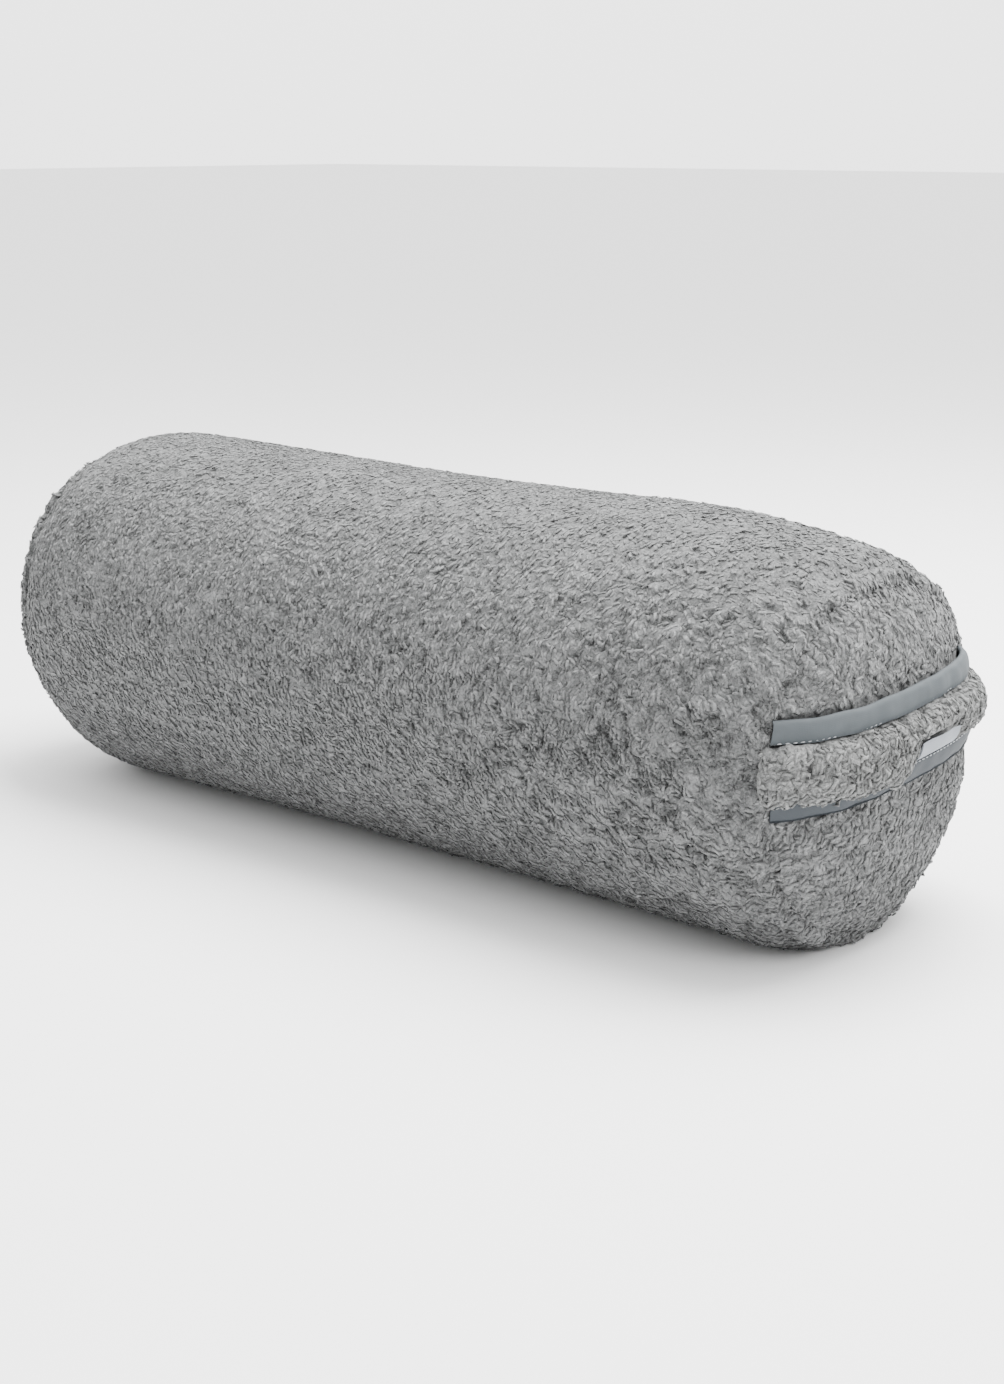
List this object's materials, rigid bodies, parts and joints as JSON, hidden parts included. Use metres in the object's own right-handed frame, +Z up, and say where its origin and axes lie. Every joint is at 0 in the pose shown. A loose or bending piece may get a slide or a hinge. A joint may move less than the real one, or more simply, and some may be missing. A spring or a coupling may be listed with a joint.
{
  "type": "round yoga bolster",
  "caption": "Long round floor cushion of grey wool fleece, firmly filled, with domed end panels and a bound fleece carrying strap across one end.",
  "frame": {"origin": "middle of the flat underside on the floor, halfway between the tips of the two end domes and in the plane that halves the bolster along its length", "axes": "+X along the bolster towards the end with the carrying strap, +Z up"},
  "size_m": [0.6644, 0.2302, 0.2244],
  "materials": {
    "fleece": "curled wool pile on a knitted backing, matt",
    "tape": "smooth folded cotton binding tape with a faint sheen",
    "label": "plain woven polyester, blank"
  },
  "bodies": {
    "root": {"filled_tube": "fleece", "end_panel_strap_side": "fleece", "end_panel_plain_side": "fleece", "strap_web": "fleece", "strap_tape_upper": "tape", "strap_tape_lower": "tape", "strap_label": "label"}
  },
  "joints": []
}
